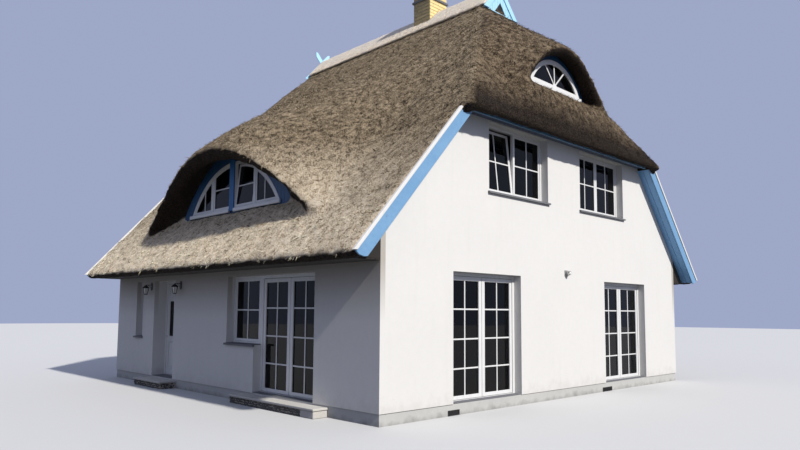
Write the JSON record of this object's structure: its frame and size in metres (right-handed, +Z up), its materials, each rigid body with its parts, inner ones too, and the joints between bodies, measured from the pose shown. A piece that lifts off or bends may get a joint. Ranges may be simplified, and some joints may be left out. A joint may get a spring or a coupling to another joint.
{
  "type": "thatched cottage",
  "caption": "White plastered cottage with a half-hipped thatched roof, broad arched dormers, arched hip windows, blue verge boards and glazed doors that open.",
  "frame": {"origin": "on the ground under the middle of the roof, at the middle of the foundation slab's underside", "axes": "+Z up, +Y along the ridge away from the gable with the two glazed double doors, -X towards the long side with the entrance"},
  "size_m": [11.5268, 10.44, 9.76],
  "materials": {
    "plinth": "pale grey cement render, matt",
    "plaster": "white lime plaster on brickwork, fine grain, matt",
    "floor": "plain timber boards, matt",
    "thatch": "weathered water reed, brown grey, rough",
    "ridge_cap": "pale straw ridge, rough",
    "chimney": "yellow brick with pale joints, matt",
    "blue_board": "light blue painted boards, satin",
    "window": "white painted frames with clear dark panes",
    "door": "white painted entrance door, satin",
    "stone": "light concrete slab, matt",
    "lamp": "black painted metal, satin"
  },
  "bodies": {
    "house": {"attic_floor": "floor", "back_wall": "plaster", "back_window_lower_left": "window", "back_window_lower_right": "window", "back_window_upper_left": "window", "back_window_upper_right": "window", "bargeboard_back_left": "blue_board", "bargeboard_back_right": "blue_board", "bargeboard_front_left": "blue_board", "bargeboard_front_right": "blue_board", "chimney_stack": "chimney", "dormer_panel_left": "blue_board", "dormer_panel_right": "blue_board", "dormer_window_left": "window", "dormer_window_right": "window", "eave_soffit_left": "blue_board", "eave_soffit_right": "blue_board", "entrance_frame": "door", "entrance_step": "stone", "foundation_slab": "plinth", "front_left_door_frame": "window", "front_right_door_frame": "window", "front_wall_left": "plaster", "front_wall_middle": "plaster", "front_wall_right": "plaster", "front_wall_upper": "plaster", "front_window_left": "window", "front_window_right": "window", "gablet_back": "blue_board", "gablet_front": "blue_board", "hall_window": "window", "hip_eave_board_back": "blue_board", "hip_eave_board_front": "blue_board", "hip_window_back": "window", "hip_window_front": "window", "left_wall_back": "plaster", "left_wall_front": "plaster", "left_wall_middle": "plaster", "left_wall_upper": "plaster", "ridge_cap": "ridge_cap", "right_wall": "plaster", "right_window_back": "window", "right_window_front": "window", "terrace_door_frame": "window", "terrace_step": "stone", "thatch_back": "thatch", "thatch_front": "thatch", "thatch_left": "thatch", "thatch_right": "thatch", "upper_floor": "floor", "wall_lantern_left": "lamp", "wall_lantern_right": "lamp", "wall_light": "lamp"},
    "front_left_door_leaf_a": {"front_left_door_leaf_a": "window"},
    "front_left_door_leaf_b": {"front_left_door_leaf_b": "window"},
    "front_right_door_leaf_a": {"front_right_door_leaf_a": "window"},
    "front_right_door_leaf_b": {"front_right_door_leaf_b": "window"},
    "terrace_door_leaf_a": {"terrace_door_leaf_a": "window"},
    "terrace_door_leaf_b": {"terrace_door_leaf_b": "window"},
    "entrance_leaf": {"entrance_leaf": "door"}
  },
  "joints": [
    {"name": "front_left_door_hinge_a", "type": "hinge", "parent": "house", "child": "front_left_door_leaf_a", "pos_m": [-3.3247, -4.561, 1.2], "axis": [0, 0, 1], "range_deg": [0, 90]},
    {"name": "front_left_door_hinge_b", "type": "hinge", "parent": "house", "child": "front_left_door_leaf_b", "pos_m": [-1.5833, -4.561, 1.2], "axis": [0, 0, -1], "range_deg": [0, 90]},
    {"name": "front_right_door_hinge_a", "type": "hinge", "parent": "house", "child": "front_right_door_leaf_a", "pos_m": [1.5833, -4.561, 1.2], "axis": [0, 0, 1], "range_deg": [0, 90]},
    {"name": "front_right_door_hinge_b", "type": "hinge", "parent": "house", "child": "front_right_door_leaf_b", "pos_m": [3.3247, -4.561, 1.2], "axis": [0, 0, -1], "range_deg": [0, 90]},
    {"name": "terrace_door_hinge_a", "type": "hinge", "parent": "house", "child": "terrace_door_leaf_a", "pos_m": [-4.771, -1.4843, 1.2], "axis": [0, 0, 1], "range_deg": [0, 90]},
    {"name": "terrace_door_hinge_b", "type": "hinge", "parent": "house", "child": "terrace_door_leaf_b", "pos_m": [-4.771, -3.1537, 1.2], "axis": [0, 0, -1], "range_deg": [0, 90]},
    {"name": "entrance_hinge", "type": "hinge", "parent": "house", "child": "entrance_leaf", "pos_m": [-4.641, 1.8233, 1.2], "axis": [0, 0, -1], "range_deg": [0, 90]}
  ]
}
